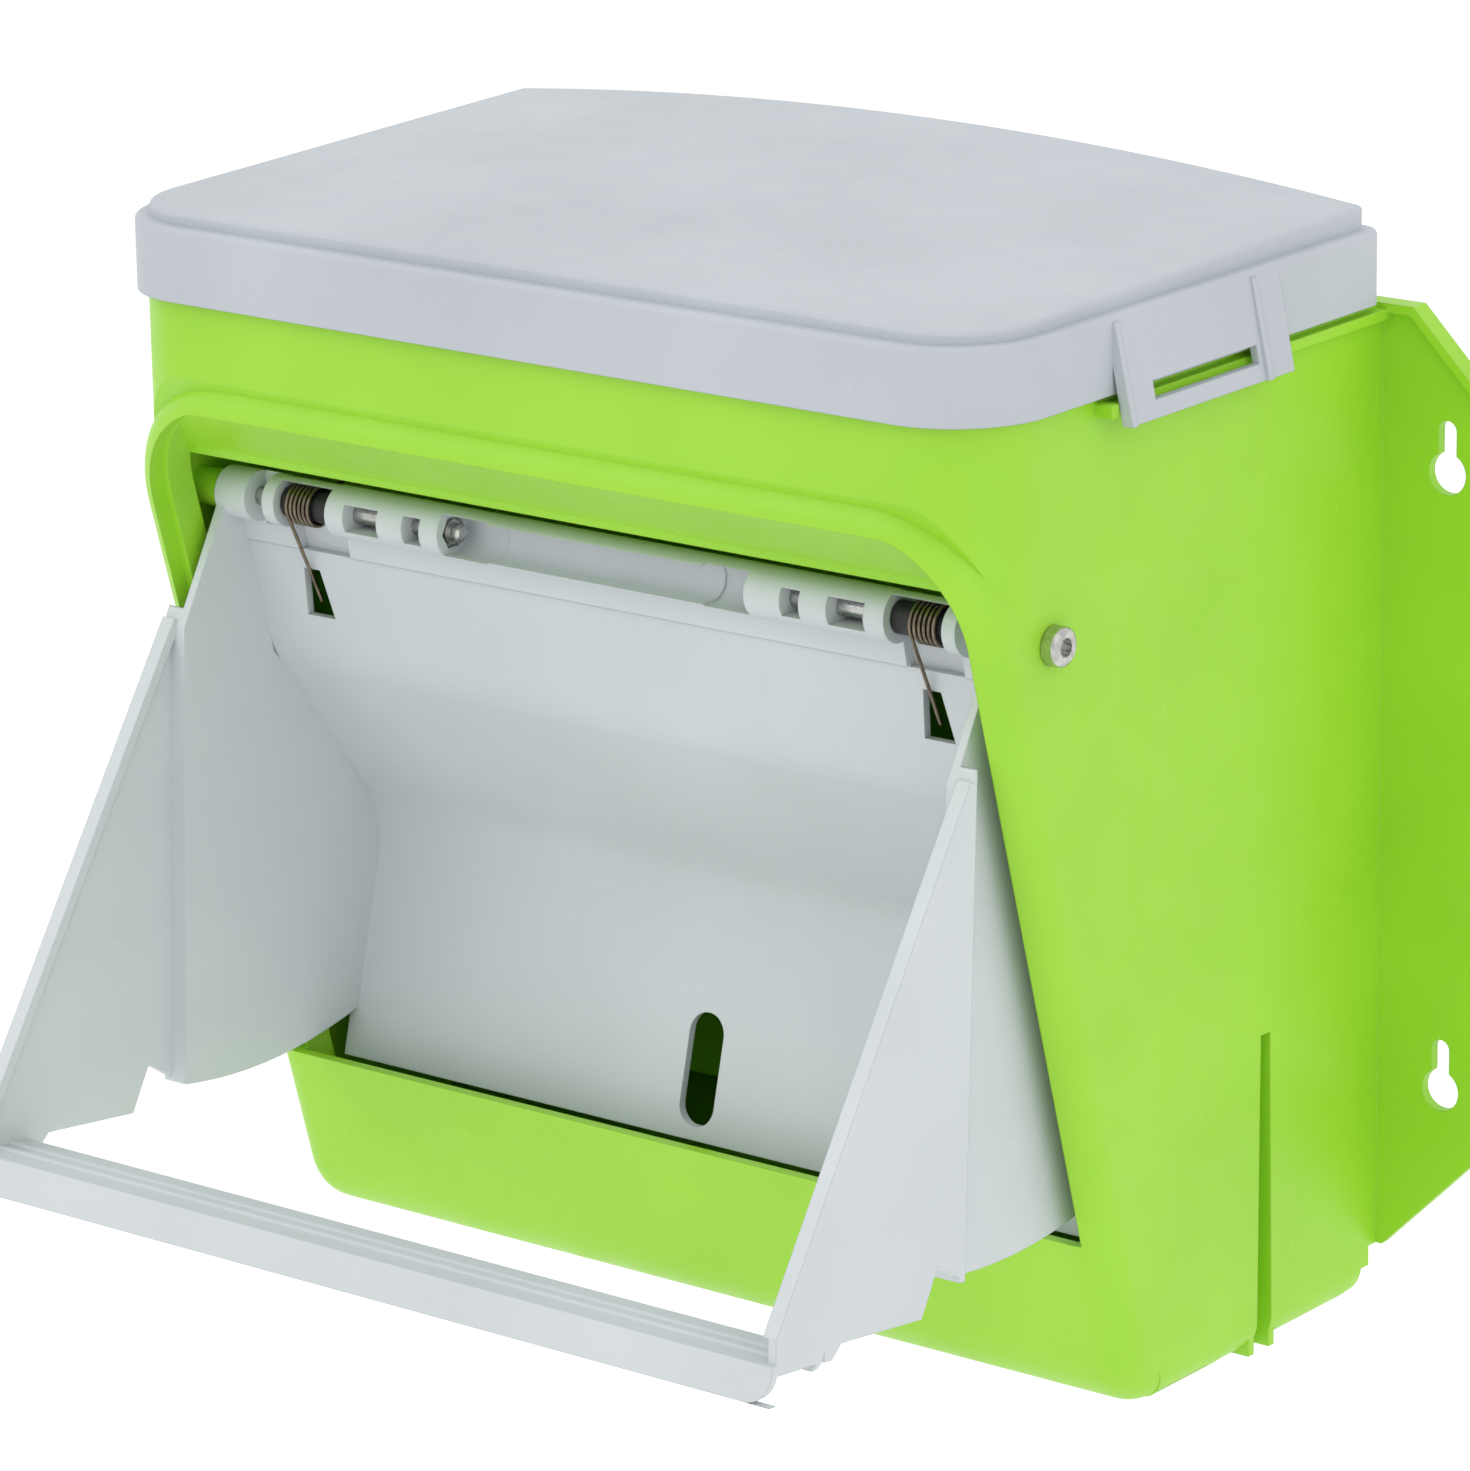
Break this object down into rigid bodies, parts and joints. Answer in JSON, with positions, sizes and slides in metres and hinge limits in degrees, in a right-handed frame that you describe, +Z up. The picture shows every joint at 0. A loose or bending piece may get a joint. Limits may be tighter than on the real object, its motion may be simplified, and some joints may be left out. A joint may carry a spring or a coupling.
{
  "type": "poultry feeder",
  "caption": "Wall-hung poultry feeder with a green hopper, a lift-off grey lid and a sprung grey treadle flap over the trough.",
  "frame": {"origin": "on the wall plane, at the centre of the four keyholes", "axes": "+Z up, +X to the right seen from the front, +Y from the front of the feeder into the wall"},
  "size_m": [0.351, 0.2603, 0.31],
  "materials": {
    "housing_green": "moulded polypropylene, semi-matt",
    "lid_grey": "moulded polypropylene, fine grain",
    "flap_grey": "moulded polypropylene, semi-matt",
    "steel": "zinc plated",
    "black_plastic": "matt",
    "spring_steel": "drawn wire, oiled"
  },
  "bodies": {
    "housing": {"housing": "housing_green", "feed_baffle": "housing_green"},
    "flap": {"flap": "flap_grey", "hinge_screw_left": "steel", "hinge_screw_right": "steel", "lock_nut_left": "steel", "lock_nut_right": "steel", "spring_sleeve_left": "black_plastic", "spring_sleeve_right": "black_plastic", "torsion_spring_left": "spring_steel", "torsion_spring_right": "spring_steel"},
    "lid": {"lid": "lid_grey"}
  },
  "joints": [
    {"name": "flap_hinge", "type": "hinge", "parent": "housing", "child": "flap", "pos_m": [0, -0.152, 0.07], "axis": [1, 0, 0], "range_deg": [0, 18.5], "stiffness_Nm_per_rad": 0.3, "springref_deg": -45.84, "deforming": ["torsion_spring_left", "torsion_spring_right"]},
    {"name": "lid_lift", "type": "slide", "parent": "housing", "child": "lid", "axis": [0, 0, 1], "range_m": [0, 0.06]}
  ]
}
